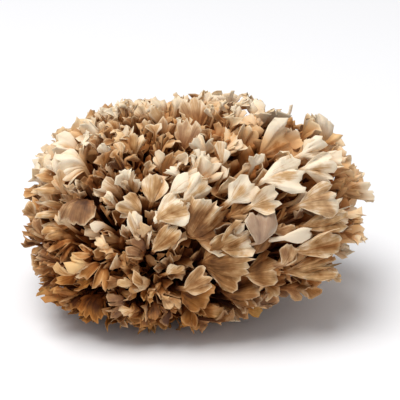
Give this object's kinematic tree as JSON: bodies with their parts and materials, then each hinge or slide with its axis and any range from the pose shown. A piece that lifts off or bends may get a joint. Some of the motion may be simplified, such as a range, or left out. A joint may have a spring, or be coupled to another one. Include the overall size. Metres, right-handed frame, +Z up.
{
  "type": "maitake mushroom",
  "caption": "Whole maitake fruiting body: a squat cut base forks into branches that end in tufts of thin overlapping fan-shaped caps, making a wide low crown.",
  "frame": {"origin": "centre of the flat face where the base was cut from its log, which the mushroom stands on", "axes": "+Z up from the cut face, +X along the crown's long side, towards the end that it leans to, +Y to the back"},
  "size_m": [0.1653, 0.1329, 0.1022],
  "materials": {
    "base_flesh": "matte",
    "crown_caps": "matte",
    "side_caps": "matte",
    "hem_caps": "matte"
  },
  "bodies": {
    "root": {"base": "base_flesh", "crown_tuft_1": "crown_caps", "crown_tuft_2": "crown_caps", "crown_tuft_3": "crown_caps", "upper_tuft_1": "crown_caps", "upper_tuft_2": "crown_caps", "upper_tuft_3": "crown_caps", "upper_tuft_4": "crown_caps", "upper_tuft_5": "crown_caps", "upper_tuft_6": "crown_caps", "middle_tuft_1": "crown_caps", "middle_tuft_2": "crown_caps", "middle_tuft_3": "crown_caps", "middle_tuft_4": "crown_caps", "middle_tuft_5": "crown_caps", "middle_tuft_6": "crown_caps", "middle_tuft_7": "crown_caps", "middle_tuft_8": "crown_caps", "middle_tuft_9": "crown_caps", "lower_tuft_1": "side_caps", "lower_tuft_2": "side_caps", "lower_tuft_3": "side_caps", "lower_tuft_4": "side_caps", "lower_tuft_5": "side_caps", "lower_tuft_6": "side_caps", "lower_tuft_7": "side_caps", "lower_tuft_8": "side_caps", "lower_tuft_9": "side_caps", "lower_tuft_10": "side_caps", "skirt_tuft_1": "side_caps", "skirt_tuft_2": "side_caps", "skirt_tuft_3": "side_caps", "skirt_tuft_4": "side_caps", "skirt_tuft_5": "side_caps", "skirt_tuft_6": "side_caps", "skirt_tuft_7": "side_caps", "skirt_tuft_8": "side_caps", "skirt_tuft_9": "side_caps", "skirt_tuft_10": "side_caps", "hem_tuft_1": "hem_caps", "hem_tuft_2": "hem_caps", "hem_tuft_3": "hem_caps", "hem_tuft_4": "hem_caps", "hem_tuft_5": "hem_caps", "hem_tuft_6": "hem_caps", "hem_tuft_7": "hem_caps", "hem_tuft_8": "hem_caps"}
  },
  "joints": []
}
